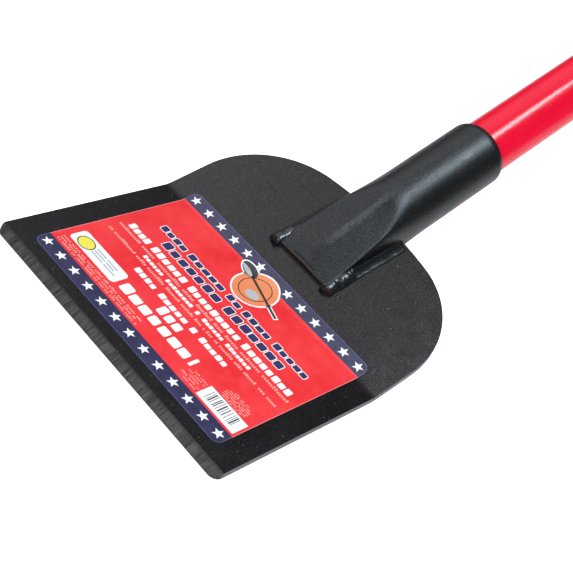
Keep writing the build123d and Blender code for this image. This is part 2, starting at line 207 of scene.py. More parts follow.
# ------------------------------------------------------------------- materials
def socket_normal(m, normal):
    """Soften the pressed crown and the side creases of the socket."""
    # wide rounding for the crown, near the middle only
    crown = m.rounded(0.0042)
    away = m.op("ABSOLUTE", m.xyz()[1])
    near = m.range(away, span=(0.0055, 0.011), to=(1.0, 0.0), smooth=True)
    normal = m.mix(near, normal, crown)
    # the side creases die out softly where the tube turns round
    crease = m.rounded(0.0055)
    place = m.mul(m.range(m.xyz()[0], span=(0.196, 0.212), smooth=True),
                  m.range(m.xyz()[0], span=(0.238, 0.255), to=(1.0, 0.0), smooth=True))
    return m.mix(place, normal, crease)


# Painted light on the socket: a paler front end face and a painted highlight along the ridge.
def socket_painted_light(m, colour, grain):
    x, y, z = m.xyz()
    height = m.add(m.mul(m.sub(x, BEND_X * MM), -BEND_SIN),
                   m.mul(m.sub(z, BLADE_T * MM), BEND_COS))
    face = m.node("NewGeometry").outputs["True Normal"]
    normal_x, _, normal_z = m.xyz(face)
    # painted light: the blunt front end's forward-facing face gets a paler colour that stands in
    # for light falling on it
    front = m.mul(m.range(normal_x, span=(-0.55, -0.8)),
                  m.range(x, span=(0.1585, 0.1600), to=(1.0, 0.0)))
    front = m.mul(front, m.range(height, span=(0.0004, 0.0010), smooth=True))
    colour = m.mix(front, colour, (0.15, 0.145, 0.148))
    # painted highlight: a paler bluish-grey streak along the soft ridge, on faces turned upwards
    wander = m.add(y, m.mul(m.sub(m.noise(scale=160.0), 0.5), 0.004))
    ridge_highlight = m.range(m.op("ABSOLUTE", wander), span=(0.0002, 0.0036), to=(1.0, 0.0), smooth=True)
    ridge_highlight = m.mul(ridge_highlight, m.range(x, span=(0.166, 0.178), smooth=True))
    ridge_highlight = m.mul(ridge_highlight, m.range(x, span=(0.205, 0.228), to=(1.0, 0.0), smooth=True))
    ridge_highlight = m.mul(ridge_highlight, m.range(normal_z, span=(0.2, 0.5)))
    ridge_highlight = m.mul(ridge_highlight, m.range(grain, span=(0.35, 0.65), to=(0.25, 1.0)))
    return m.mix(ridge_highlight, colour, (0.066, 0.072, 0.078))


def black_paint(name, base, rough, peel, peel_scale, edge, wear, sparkle, coat=0.0,
                tint=(1.0, 0.99, 1.0), socket=False):
    """Satin black paint on steel: uneven tone, fine orange peel, dust specks,
    small scuffs, and thin paint along the edges."""
    m = Mat(name)
    normal = m.rounded(edge)
    mask = m.edge_mask(normal)
    if socket:
        normal = socket_normal(m, normal)
    cloud = m.noise(scale=22.0, detail=4.0, rough=0.6)
    blotch = m.noise(scale=90.0, detail=3.0, rough=0.55)
    grain = m.noise(scale=1150.0, detail=3.0, rough=0.7)
    tone = m.add(m.mul(cloud, 0.6), m.mul(blotch, 0.4))
    tone = m.range(tone, span=(0.3, 0.7), to=(0.72, 1.35))
    tone = m.mul(tone, m.range(grain, span=(0.3, 0.7), to=(0.55, 1.6)))
    warm = tuple(c * k for c, k in zip(base, (1.06, 0.98, 1.0)))
    cool = tuple(c * k for c, k in zip(base, (0.92, 1.0, 1.1)))
    colour = m.mix(m.range(m.noise(scale=55.0), span=(0.35, 0.65)), warm, cool)
    colour = m.mix(1.0, colour, m.mix(tone, (0, 0, 0), (1, 1, 1)), "MULTIPLY")
    # dust specks
    speck = m.range(m.cells(scale=340.0), span=(0.10, 0.20), to=(1.0, 0.0))
    speck = m.mul(speck, m.range(m.noise(scale=190.0), span=(0.52, 0.64)))
    colour = m.mix(m.mul(speck, 0.4), colour, (0.16, 0.165, 0.175))
    # thin paint on the edges
    broken = m.range(m.noise(scale=260.0, detail=4.0, rough=0.7), span=(0.35, 0.62))
    colour = m.mix(m.mul(m.mul(mask, broken), wear), colour, (0.16, 0.165, 0.17))
    # on the socket only: painted light on the front end and a painted highlight along the ridge
    if socket:
        colour = socket_painted_light(m, colour, grain)
    rough = m.add(rough, m.range(blotch, span=(0.3, 0.7), to=(-0.03, 0.04)))
    rough = m.add(rough, m.mul(speck, 0.2))
    rough = m.add(rough, m.range(grain, span=(0.3, 0.7), to=(-0.03, 0.04)))
    orange_peel = m.noise(peel_scale, detail=3.0, rough=0.55)
    normal = m.bump(orange_peel, strength=peel, distance=0.0004, after=normal)
    normal = m.bump(grain, strength=sparkle, distance=0.00012, after=normal)
    shine = m.mul(m.range(grain, span=(0.3, 0.7), to=(0.45, 1.55)), 0.5)
    return m.finish(colour=colour, rough=rough, normal=normal, spec=shine, coat=coat,
                    coat_rough=0.25, tint=tint)


def ground_material():
    """Thinly painted ground steel: streaks across the edge left by the wheel."""
    m = Mat("ground_bevel_paint")
    fine = m.streaks((60.0, 620.0, 60.0), detail=4.0, rough=0.7)
    broad = m.streaks((30.0, 180.0, 30.0), detail=3.0, rough=0.6)
    grain = m.noise(scale=1300.0, detail=3.0, rough=0.7)
    tone = m.add(m.mul(fine, 0.65), m.mul(broad, 0.35))
    colour = m.mix(m.range(tone, span=(0.42, 0.58)),
                   (0.006, 0.0056, 0.0058), (0.082, 0.076, 0.076))
    colour = m.mix(m.range(grain, span=(0.35, 0.7), to=(0.0, 0.4)), colour,
                   (0.012, 0.012, 0.012))
    # darker towards the blade's top face
    upper = m.range(m.xyz()[2], span=(0.0030, 0.0042), to=(0.0, 0.75), smooth=True)
    colour = m.mix(upper, colour, (0.007, 0.007, 0.007))
    normal = m.bump(fine, strength=0.5, distance=0.0004)
    normal = m.bump(grain, strength=0.3, distance=0.00015, after=normal)
    rough = m.range(tone, span=(0.3, 0.7), to=(0.6, 0.42))
    return m.finish(colour=colour, rough=rough, normal=normal, spec=0.45)


def handle_material():
    """Glossy red pultruded fibreglass: faint long fibres under a clear skin."""
    m = Mat("handle_red_gloss")
    along = m.mapped(turn=(0, HANDLE_ANGLE, 0))
    fibres = m.streaks((3.0, 700.0, 700.0), detail=3.0, rough=0.6, at=along)
    long_tone = m.streaks((8.0, 40.0, 40.0), detail=3.0, rough=0.6, at=along)
    mottle = m.noise(scale=120.0, detail=3.0, rough=0.6)
    colour = m.mix(m.range(long_tone, span=(0.3, 0.7)),
                   (0.78, 0.004, 0.028), (0.90, 0.008, 0.046))
    colour = m.mix(m.range(fibres, span=(0.45, 0.75), to=(0.0, 0.35)), colour,
                   (0.62, 0.003, 0.015))
    colour = m.mix(m.range(mottle, span=(0.55, 0.75), to=(0.0, 0.3)), colour,
                   (0.93, 0.02, 0.05))
    scuff = m.streaks((60.0, 300.0, 300.0), detail=5.0, rough=0.7, at=along)
    scuff = m.range(scuff, span=(0.62, 0.74))
    rough = m.range(m.noise(scale=60.0), span=(0.3, 0.7), to=(0.18, 0.24))
    rough = m.add(rough, m.mul(scuff, 0.12))
    waves = m.streaks((20.0, 160.0, 160.0), at=along)
    normal = m.bump(waves, strength=0.12, distance=0.0004)
    normal = m.bump(fibres, strength=0.05, distance=0.0001, after=normal)
    return m.finish(colour=colour, rough=rough, normal=normal, spec=0.2, coat=0.08,
                    coat_rough=0.1)


def rubber_material():
    m = Mat("cap_rubber")
    rounded = m.rounded(0.0006)
    mask = m.edge_mask(rounded)
    pores = m.noise(scale=1600.0, detail=3.0, rough=0.6)
    tone = m.noise(scale=60.0, detail=3.0)
    colour = m.mix(m.range(tone, span=(0.3, 0.7)),
                   (0.012, 0.012, 0.013), (0.022, 0.021, 0.021))
    colour = m.mix(m.mul(mask, 0.3), colour, (0.05, 0.05, 0.05))
    rough = m.range(tone, span=(0.3, 0.7), to=(0.55, 0.72))
    normal = m.bump(pores, strength=0.25, distance=0.0002, after=rounded)
    return m.finish(colour=colour, rough=rough, normal=normal, spec=0.4)


def zinc_material():
    m = Mat("zinc_rivet")
    rounded = m.rounded(0.0004)
    mask = m.edge_mask(rounded)
    spangle = m.cells(scale=500.0)
    scratch = m.streaks((900.0, 120.0, 900.0), detail=3.0, rough=0.6)
    colour = m.mix(m.range(spangle, span=(0.1, 0.6)), (0.42, 0.42, 0.43), (0.56, 0.56, 0.55))
    colour = m.mix(m.mul(mask, 0.5), colour, (0.7, 0.7, 0.7))
    rough = m.range(scratch, span=(0.3, 0.7), to=(0.26, 0.46))
    normal = m.bump(scratch, strength=0.12, distance=0.0001, after=rounded)
    return m.finish(colour=colour, rough=rough, metal=1.0, normal=normal)


def liner_material():
    m = Mat("bare_fibreglass")
    along = m.mapped(turn=(0, HANDLE_ANGLE, 0))
    fibres = m.streaks((6.0, 900.0, 900.0), detail=3.0, rough=0.6, at=along)
    colour = m.mix(m.range(fibres, span=(0.3, 0.7)), (0.5, 0.47, 0.38), (0.72, 0.70, 0.62))
    rough = m.range(fibres, span=(0.3, 0.7), to=(0.45, 0.65))
    return m.finish(colour=colour, rough=rough,
                    normal=m.bump(fibres, strength=0.3, distance=0.0002))


def wood_material():
    m = Mat("plug_wood")
    along = m.mapped(turn=(0, HANDLE_ANGLE, 0))
    rings = m.streaks((4.0, 260.0, 260.0), detail=4.0, rough=0.6, warp=0.6, at=along)
    pores = m.streaks((60.0, 1500.0, 1500.0), at=along)
    colour = m.mix(m.range(rings, span=(0.35, 0.65)), (0.42, 0.25, 0.12), (0.62, 0.44, 0.25))
    colour = m.mix(m.range(pores, span=(0.6, 0.75), to=(0, 0.6)), colour, (0.24, 0.13, 0.06))
    rough = m.range(rings, span=(0.3, 0.7), to=(0.5, 0.7))
    return m.finish(colour=colour, rough=rough,
                    normal=m.bump(rings, strength=0.3, distance=0.0003))


def label_rim(m, y, d):
    """1 along the label's rounded outline, from the distance to its corners."""
    centre = (LABEL_FRONT + LABEL_REAR) / 2
    half_y = LABEL_HALF_W - LABEL_R
    half_d = (LABEL_REAR - LABEL_FRONT) / 2 - LABEL_R
    past_y = m.sub(m.op("ABSOLUTE", m.sub(y, 0.0)), half_y)
    past_d = m.sub(m.op("ABSOLUTE", m.sub(d, centre)), half_d)
    out_y = m.op("MAXIMUM", past_y, 0.0)
    out_d = m.op("MAXIMUM", past_d, 0.0)
    outside = m.op("SQRT", m.add(m.mul(out_y, out_y), m.mul(out_d, out_d)))
    inside = m.op("MINIMUM", m.op("MAXIMUM", past_y, past_d), 0.0)
    return m.range(m.add(outside, inside), span=(LABEL_R - 0.5, LABEL_R - 0.12))


def label_material():
    """Printed vinyl: red field, dark blue bands, a pale cut edge, slight
    print mottle, tiny scuffs and a soft sheen. The map coordinates are
    (y, d) in millimetres."""
    m = Mat("label_vinyl", by_uv=True)
    y, d, _ = m.xyz()
    metres = m.mapped(scale=(MM, MM, MM))
    wobble = m.mul(m.sub(m.noise(scale=900.0, at=metres), 0.5), 0.25)
    wavy = m.add(d, wobble)
    soft = 0.12
    front = m.range(wavy, span=(BAND_FRONT - soft, BAND_FRONT + soft), to=(1.0, 0.0))
    rear = m.range(wavy, span=(BAND_REAR - soft, BAND_REAR + soft))
    band = m.op("MAXIMUM", front, rear)
    fine = m.noise(scale=1500.0, rough=0.7, at=metres)
    cloud = m.noise(scale=26.0, detail=3.0, rough=0.55, at=metres)
    mottle = m.noise(scale=120.0, detail=4.0, rough=0.6, at=metres)
    red = m.mix(m.range(cloud, span=(0.35, 0.68)), (0.84, 0.016, 0.026), (0.95, 0.050, 0.056))
    red = m.mix(m.range(mottle, span=(0.5, 0.75), to=(0.0, 0.35)), red, (0.95, 0.075, 0.075))
    red = m.mix(m.range(fine, span=(0.35, 0.7), to=(0.0, 0.25)), red, (0.72, 0.006, 0.014))
    blue = m.mix(m.range(mottle, span=(0.35, 0.68)),
                 (0.019, 0.016, 0.068), (0.032, 0.029, 0.098))
    blue = m.mix(m.range(fine, span=(0.4, 0.7), to=(0.0, 0.4)), blue, (0.018, 0.016, 0.060))
    colour = m.mix(band, red, blue)
    rim = label_rim(m, y, d)
    rim_colour = m.mix(band, (0.90, 0.42, 0.42), (0.16, 0.16, 0.36))
    colour = m.mix(m.mul(rim, 0.7), colour, rim_colour)
    stretched = m.mapped(scale=(1.0, 3.0, 1.0), at=metres)
    scuff = m.noise(scale=240.0, detail=6.0, rough=0.75, warp=0.5, at=stretched)
    scuff = m.range(scuff, span=(0.68, 0.76))
    colour = m.mix(m.mul(scuff, 0.12), colour, (0.95, 0.5, 0.5))
    rough = m.add(m.range(mottle, span=(0.3, 0.7), to=(0.30, 0.40)), m.mul(scuff, 0.2))
    normal = m.bump(m.noise(scale=60.0, at=metres), strength=0.10, distance=0.0006)
    normal = m.bump(fine, strength=0.05, distance=0.00008, after=normal)
    return m.finish(colour=colour, rough=rough, normal=normal, coat=0.25, coat_rough=0.18)


def ink(name, low, high):
    """One printed colour, uneven between low and high."""
    m = Mat(name)
    fine = m.noise(scale=900.0, detail=3.0, rough=0.65)
    cloud = m.noise(scale=80.0)
    colour = m.mix(m.range(fine, span=(0.3, 0.7)), low, high)
    colour = m.mix(m.range(cloud, span=(0.4, 0.7), to=(0.0, 0.35)), colour,
                   tuple(c * 0.93 for c in low))
    return m.finish(colour=colour, rough=m.range(cloud, span=(0.3, 0.7), to=(0.38, 0.47)),
                    normal=m.bump(fine, strength=0.05, distance=0.00006),
                    coat=0.2, coat_rough=0.2)


COOL_TINT = (0.88, 0.95, 1.0)
MATERIALS = {
    "blade": black_paint("blade_paint", (0.0046, 0.0042, 0.0046), rough=0.25, peel=0.12,
                         peel_scale=900.0, edge=0.0004, wear=0.12, sparkle=0.4),
    "socket": black_paint("socket_paint", (0.0062, 0.0060, 0.0064), rough=0.365, peel=0.25,
                          peel_scale=650.0, edge=0.0008, wear=0.25, sparkle=0.6,
                          tint=COOL_TINT, socket=True),
    "weld": black_paint("weld_paint", (0.011, 0.011, 0.0113), rough=0.30, peel=0.10,
                        peel_scale=400.0, edge=0.0003, wear=0.1, sparkle=0.15, coat=0.3,
                        tint=COOL_TINT),
    "grind": ground_material(),
    "handle": handle_material(),
    "cap": rubber_material(),
    "rivet": zinc_material(),
    "liner": liner_material(),
    "wood": wood_material(),
    "label": label_material(),
    "white": ink("print_white", (0.90, 0.90, 0.90), (0.97, 0.97, 0.97)),
    "pale": ink("print_pale", (0.88, 0.30, 0.27), (0.95, 0.45, 0.38)),
    "navy": ink("print_navy", (0.020, 0.016, 0.095), (0.034, 0.028, 0.13)),
    "dark": ink("print_dark", (0.020, 0.022, 0.025), (0.05, 0.052, 0.055)),
    "grey": ink("print_grey", (0.42, 0.44, 0.46), (0.56, 0.58, 0.60)),
    "yellow": ink("print_yellow", (0.84, 0.72, 0.05), (0.92, 0.82, 0.12)),
    "tan": ink("print_tan", (0.80, 0.20, 0.07), (0.92, 0.34, 0.15)),
    "brown": ink("print_brown", (0.10, 0.02, 0.012), (0.20, 0.045, 0.025)),
    "steel": ink("print_steel", (0.10, 0.12, 0.12), (0.28, 0.31, 0.31)),
}


# -------------------------------------------------------------- mesh utilities
def link_object(name, mesh, material):
    obj = bpy.data.objects.new(name, mesh)
    bpy.context.scene.collection.objects.link(obj)
    mesh.materials.append(material)
    return obj


def shade_smooth(mesh):
    mesh.polygons.foreach_set("use_smooth", [True] * len(mesh.polygons))


def add_object(name, verts, faces, material):
    mesh = bpy.data.meshes.new(name)
    mesh.from_pydata([tuple(v) for v in verts], [], faces)
    mesh.validate()
    mesh.update()
    shade_smooth(mesh)
    return link_object(name, mesh, material)


def face_outwards(obj, sharp_degrees):
    bm = bmesh.new()
    bm.from_mesh(obj.data)
    bmesh.ops.recalc_face_normals(bm, faces=bm.faces[:])
    bm.to_mesh(obj.data)
    bm.free()
    obj.data.set_sharp_from_angle(angle=math.radians(sharp_degrees))


def ride(obj):
    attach(obj, "root")


def sheet_faces(rows, cols, sides_last=False):
    """Faces closing two layers of rows x cols points into a thin sheet.
    sides_last only sets whether the side faces come row by row or at the end."""
    faces, sides = [], []
    n = rows * cols
    for i in range(rows - 1):
        for j in range(cols - 1):
            a = i * cols + j
            b = n + a
            faces.append((a, a + 1, a + cols + 1, a + cols))
            faces.append((b, b + cols, b + cols + 1, b + 1))
        a = i * cols
        b = a + cols - 1
        (sides if sides_last else faces).extend((
            (a, a + cols, n + a + cols, n + a),
            (b, n + b, n + b + cols, b + cols),
        ))
    faces += sides
    for j in range(cols - 1):
        b = (rows - 1) * cols + j
        faces.append((j, n + j, n + j + 1, j + 1))
        faces.append((b, b + 1, n + b + 1, n + b))
    return faces


# ----------------------------------------------------------------- label sheet
def label_stations():
    """Distances from the front edge, close together at the corners and bend."""
    corner = [LABEL_R * (1 - math.cos(math.pi / 2 * i / 8)) for i in range(1, 9)]
    stations = [LABEL_FRONT + 0.02, LABEL_FRONT + 0.1]
    stations += [LABEL_FRONT + c for c in corner]
    d = LABEL_FRONT + LABEL_R
    while d < ARC_X - 2:
        d += 3.0
        stations.append(min(d, ARC_X))
    stations += [ARC_X + ARC_LEN * i / 8 for i in range(9)]
    stations += [LABEL_REAR - c for c in corner]
    stations.append(LABEL_REAR - 0.02)
    return sorted(set(round(s, 4) for s in stations))


def label_sheet():
    """The label as one closed thin sheet wrapped over the bend."""
    stations = label_stations()
    cols = 61
    verts, uvs = [], []
    for is_top in (False, True):
        for d in stations:
            inset = min(d - LABEL_FRONT, LABEL_REAR - d)
            half = corner_half(LABEL_HALF_W, LABEL_R, inset)
            for j in range(cols):
                y = half * (2 * j / (cols - 1) - 1)
                h = SHEET_FOOT
                if is_top:
                    # the sheet lies down with a very slight unevenness
                    h = SHEET_T + 0.012 * noise.noise(Vector((d * 0.06, y * 0.06, 3.1)))
                verts.append(on_top(d, y, h) * MM)
                uvs.append((y, d))
    faces = sheet_faces(len(stations), cols, sides_last=True)
    obj = add_object("label_sheet", verts, faces, MATERIALS["label"])
    layer = obj.data.uv_layers.new(name="map")
    for loop in obj.data.loops:
        layer.data[loop.index].uv = uvs[loop.vertex_index]
    face_outwards(obj, sharp_degrees=35)
    ride(obj)
    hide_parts("blade_label")


label_sheet()


# ---------------------------------------------------------------- print shapes
# Shapes are lists of (y, d) points in millimetres.
def signed_area(pts):
    n = len(pts)
    return sum(pts[i][0] * pts[(i + 1) % n][1] - pts[(i + 1) % n][0] * pts[i][1]
               for i in range(n))


def printed(name, shapes, ink_key, rise, base=False):
    """Closed thin prisms rising above the sheet, cut along the bend first and
    then wrapped over it. Base shapes are sunk deeper than those laid on them."""
    foot = SHEET_TOP - (0.06 if base else 0.02)
    bm = bmesh.new()
    for pts in shapes:
        if signed_area(pts) < 0:
            pts = pts[::-1]
        # (d, y) as (x, y) keeps z up when the order is reversed
        low = [bm.verts.new((d, y, foot)) for y, d in pts[::-1]]
        top = [bm.verts.new((d, y, SHEET_TOP + rise)) for y, d in pts[::-1]]
        n = len(low)
        bm.faces.new(top)
        bm.faces.new(low[::-1])
        for i in range(n):
            j = (i + 1) % n
            bm.faces.new((low[i], low[j], top[j], top[i]))
    reach = [v.co.x for v in bm.verts]
    if max(reach) > ARC_X and min(reach) < ARC_X + ARC_LEN:
        steps = 6
        for i in range(steps + 1):
            bmesh.ops.bisect_plane(
                bm, geom=bm.verts[:] + bm.edges[:] + bm.faces[:], dist=1e-6,
                plane_co=(ARC_X + ARC_LEN * i / steps, 0, 0), plane_no=(1, 0, 0),
            )
    bmesh.ops.triangulate(bm, faces=[f for f in bm.faces if len(f.verts) > 4])
    bmesh.ops.recalc_face_normals(bm, faces=bm.faces[:])
    for v in bm.verts:
        v.co = on_top(v.co.x, v.co.y, v.co.z) * MM
    mesh = bpy.data.meshes.new(name)
    bm.to_mesh(mesh)
    bm.free()
    ride(link_object(name, mesh, MATERIALS[ink_key]))


def star(y, d, radius):
    pts = []
    for i in range(10):
        r = radius if i % 2 == 0 else radius * 0.42
        a = math.pi / 2 + i * math.pi / 5
        pts.append((y - r * math.cos(a), d + r * math.sin(a)))
    return pts


def rect(y0, y1, d0, d1):
    return [(y0, d0), (y1, d0), (y1, d1), (y0, d1)]


def rounded_rect(y0, y1, d0, d1, r, steps=6):
    pts = []
    for y, d, start in (
        (y1 - r, d1 - r, 0), (y0 + r, d1 - r, 90), (y0 + r, d0 + r, 180), (y1 - r, d0 + r, 270)
    ):
        for i in range(steps + 1):
            a = math.radians(start + 90 * i / steps)
            pts.append((y + r * math.cos(a), d + r * math.sin(a)))
    return pts


def ellipse(y, d, radius_y, radius_d, count=48):
    angles = [2 * math.pi * i / count for i in range(count)]
    return [(y + radius_y * math.cos(a), d + radius_d * math.sin(a)) for a in angles]


def taper(start, end, half0, half1):
    """Straight strip from start to end with a half width at each."""
    start, end = Vector(start), Vector(end)
    run = (end - start).normalized()
    side = Vector((-run.y, run.x))
    return [tuple(start + side * half0), tuple(end + side * half1),
            tuple(end - side * half1), tuple(start - side * half0)]


def grow(pts, margin):
    """Shape pushed outwards, for the pale outline round dark marks."""
    n = len(pts)
    sign = 1 if signed_area(pts) > 0 else -1
    out = []
    for i in range(n):
        before, point, after = Vector(pts[i - 1]), Vector(pts[i]), Vector(pts[(i + 1) % n])
        a, b = (point - before).normalized(), (after - point).normalized()
        outward = Vector((a.y, -a.x)) * sign + Vector((b.y, -b.x)) * sign
        k = margin
        if outward.length > 1e-6:
            k = margin / max(0.45, outward.length_squared / 2)
        out.append(tuple(point + outward * k))
    return out


def marks(y_left, y_right, d0, d1, rng, width, gap, heavy):
    """A word's worth of plain blocks between two y values, side by side like
    the weight of a printed word. They spell nothing. Width and gap are in
    proportion to the height; heavy blocks are taller, with rounded corners."""
    out = []
    height = d1 - d0
    total = y_left - y_right
    count = max(1, round(total / (height * (width + gap))))
    pitch = total / count
    block = pitch * (1 - gap / (width + gap))
    for i in range(count):
        y = y_left - i * pitch
        w = min(block * rng.uniform(0.9, 1.06), pitch * 0.93)
        if heavy:
            top = d0 + height * (1.0 if i == 0 else rng.choice((0.8, 0.8, 0.8, 0.93)))
            out.append(rounded_rect(y - w, y, d0, top, min(w, top - d0) * 0.16, steps=2))
        else:
            top = d0 + height * rng.choice((0.62, 0.62, 0.62, 0.9))
            out.append(rect(y - w, y, d0, top))
    return out


def random_words(y, y_end, rng, mean):
    """Random word limits from y down to y_end."""
    out = []
    while y > y_end + mean * 0.3:
        stop = max(y - rng.uniform(0.4, 1.4) * mean, y_end)
        out.append((y, stop))
        y = stop - 1.125
    return out


# ------------------------------------------------------------------ label text
# Rows of words: d at foot and top, block width, then each word's left and right y.
NAVY_ROWS = (
    (95.0, 100.2, 0.92, ((63.0, 40.125), (37.375, 5.5), (2.0, -9.875), (-12.375, -35.875),
                         (-39.25, -68.0))),
    (85.4, 92.2, 0.92, ((50.75, -1.125), (-5.5, -56.75))),
)
WHITE_ROWS = (
    (75.8, 81.4, 0.72, ((71.0, 53.0), (49.875, 18.875), (15.75, -29.25), (-32.0, -73.0))),
    (67.0, 70.1, 0.8, ((46.375, 28.625), (25.5, 2.0), (-1.125, -4.25), (-7.375, -25.25),
                       (-27.75, -48.25))),
    (54.5, 58.9, 0.95, ((39.5, 21.0), (17.625, -7.0), (-10.25, -14.875), (-18.375, -41.375))),
    (45.6, 53.2, 0.75, ((8.875, -10.75),)),
    (36.3, 44.2, 0.9, ((31.125, -28.625), (-29.875, -32.75))),
)
PALE_ROWS = (
    (71.6, 74.4, 0.42, ((74.25, 55.125), (53.0, 41.75), (38.25, 17.625), (15.5, 5.5),
                        (3.0, -10.75), (-12.625, -20.5), (-22.625, -33.625),
                        (-35.75, -52.375), (-54.25, -75.75))),
    (62.7, 65.3, 0.42, ((73.5, 69.75), (68.5, 48.875), (47.625, 38.875), (37.375, 22.25),
                        (20.5, 8.25), (6.625, -4.25), (-5.5, -11.5), (-13.0, -14.5),
                        (-15.875, -21.125), (-22.75, -25.75), (-27.125, -38.625),
                        (-40.25, -46.75), (-48.0, -58.0), (-60.25, -65.75),
                        (-67.375, -74.875))),
)
# Rows of small print: left y, right y, d at foot and top.
SMALL_ROWS = (
    (75.5, 1.375, 31.1, 32.9), (75.5, 4.5, 28.85, 30.55), (75.5, 3.0, 26.6, 28.3),
    (-57.75, -69.0, 47.6, 48.9), (-55.25, -71.5, 46.0, 47.3), (-54.0, -72.75, 44.4, 45.7),
    (-54.0, -72.75, 42.8, 44.1), (-54.0, -72.75, 41.2, 42.5), (-55.5, -70.75, 39.7, 40.9),
    (-36.5, -47.375, 36.2, 37.5), (-33.625, -47.375, 34.0, 35.3),
    (-36.75, -47.375, 31.8, 33.1), (-32.0, -47.375, 29.6, 30.9),
    (-36.125, -47.375, 27.3, 28.6),
)


def text_rows(rows, rng, gap, heavy=True):
    out = []
    for d0, d1, width, words in rows:
        for left, right in words:
            out += marks(left, right, d0, d1, rng, width, gap, heavy)
    return out


def label_text(rng):
    navy = text_rows(NAVY_ROWS, rng, gap=0.22)
    white = text_rows(WHITE_ROWS, rng, gap=0.17)
    pale = text_rows(PALE_ROWS, rng, gap=0.2, heavy=False)
    for left, right, d0, d1 in SMALL_ROWS:
        words = random_words(left, right, rng, mean=5.75)
        pale += text_rows([(d0, d1, 0.55, words)], rng, gap=0.3, heavy=False)
    halo = [grow(pts, margin=0.55) for pts in navy]
    printed("label_print_halo", halo, "white", rise=0.015, base=True)
    printed("label_print_navy", navy, "navy", rise=0.04)
    printed("label_print_white", white, "white", rise=0.03, base=True)
    printed("label_print_pale", pale, "pale", rise=0.02, base=True)


def label_stars():
    """A row of 13 stars in each band; the rear row leaves out its middle one."""
    stars = [
        star(74.47 - 12.41 * i, d, 3.75)
        for d in (19.6, 135.1)
        for i in range(13)
        if not (d == 135.1 and i == 6)
    ]
    printed("label_stars", stars, "white", rise=0.03, base=True)


def label_panels(rng):
    """White panel with a dot and grey rules, and a white block of dark stripes."""
    panels = [rounded_rect(34.5, 74.9, 34.5, 47.6, 2.6), rect(-78.0, -48.1, 26.6, 38.7)]
    printed("label_panels", panels, "white", rise=0.03, base=True)
    dot_y, dot_d = 66.0, 40.6
    printed("label_dot_ring", [ellipse(dot_y, dot_d, 6.0, 5.2, count=36)], "dark", rise=0.045)
    printed("label_dot", [ellipse(dot_y, dot_d, 5.3, 4.55, count=36)], "yellow", rise=0.06)
    rules = []
    for right, d in ((38.875, 43.3), (41.75, 41.1), (35.75, 38.8)):
        for y0, y1 in random_words(59.5, right, rng, mean=7.5):
            rules.append(rect(y0, y1, d, d + 1.1))
    printed("label_rules", rules, "grey", rise=0.045)
    stripes = []
    y = -52.0
    while y > -73.75:
        width = rng.choice((0.375, 0.375, 0.625, 0.875))
        foot = 29.2 if rng.random() < 0.8 else 28.6
        stripes.append(rect(y, y - width, foot, 37.4))
        y -= width + rng.choice((0.5, 0.75, 1.125, 1.5))
    printed("label_stripes", stripes, "dark", rise=0.045)


def label_badge():
    """A plain round badge with a tool laid across it."""
    y, d = -0.5, 118.5
    shaft_top, shaft_end = (11.0, 125.6), (-24.0, 113.3)
    along = (Vector(shaft_top) - Vector(shaft_end)).normalized()
    across = Vector((-along.y, along.x))

    def head(length, width, shift=0.0):
        """Rounded tool head lying along the shaft's direction."""
        out = []
        for i in range(40):
            a = 2 * math.pi * i / 40
            w = width * (1 - 0.16 * math.cos(a))
            out.append(tuple(Vector((14.2, 127.7)) + along * (length * math.cos(a))
                             + across * (w * math.sin(a) + shift)))
        return out

    outline = [ellipse(y, d, 14.6, 17.2), taper((12.0, 126.0), (-24.8, 113.0), 2.0, 1.7),
               head(8.4, 5.5)]
    tool = [taper(shaft_top, shaft_end, 0.95, 0.9), head(7.3, 4.4)]
    printed("label_badge_edge", outline, "white", rise=0.035, base=True)
    # each layer stands a little above the one before
    for part, shapes, ink_key, rise in (
        ("ring", [ellipse(y, d, 13.5, 16.1)], "tan", 0.05),
        ("line", [ellipse(y, d, 9.9, 12.1)], "brown", 0.065),
        ("centre", [ellipse(y, d, 9.2, 11.4)], "tan", 0.08),
        ("shade", [ellipse(y - 2.6, d - 5.2, 4.6, 3.9)], "grey", 0.095),
        ("tool", tool, "dark", 0.11),
        ("shine", [head(6.0, 1.9, shift=-1.7)], "grey", 0.125),
    ):
        printed("label_badge_" + part, shapes, ink_key, rise)


print_rng = random.Random(41)
label_stars()
label_text(print_rng)
label_panels(print_rng)
label_badge()


# ---------------------------------------------------------------- ground bevel
def grind_height(y, t):
    """Height of the wheel marks, t running from the edge (0) to the top face (1)."""
    q = y + 0.35 * (t - 0.5) + 0.5 * noise.noise(Vector((y * 0.02, 7.7, 0)))
    medium = noise.noise(Vector((q * 0.62, t * 0.5, 1.3)))
    fine = noise.noise(Vector((q * 1.9, t * 0.9, 5.1)))
    broad = noise.noise(Vector((q * 0.09, t * 0.6, 9.2)))
    fade = min(1.0, 6 * t + 0.15, 6 * (1 - t) + 0.05)
    return max(0.004, 0.07 + 0.12 * medium + 0.06 * fine + 0.05 * broad) * fade


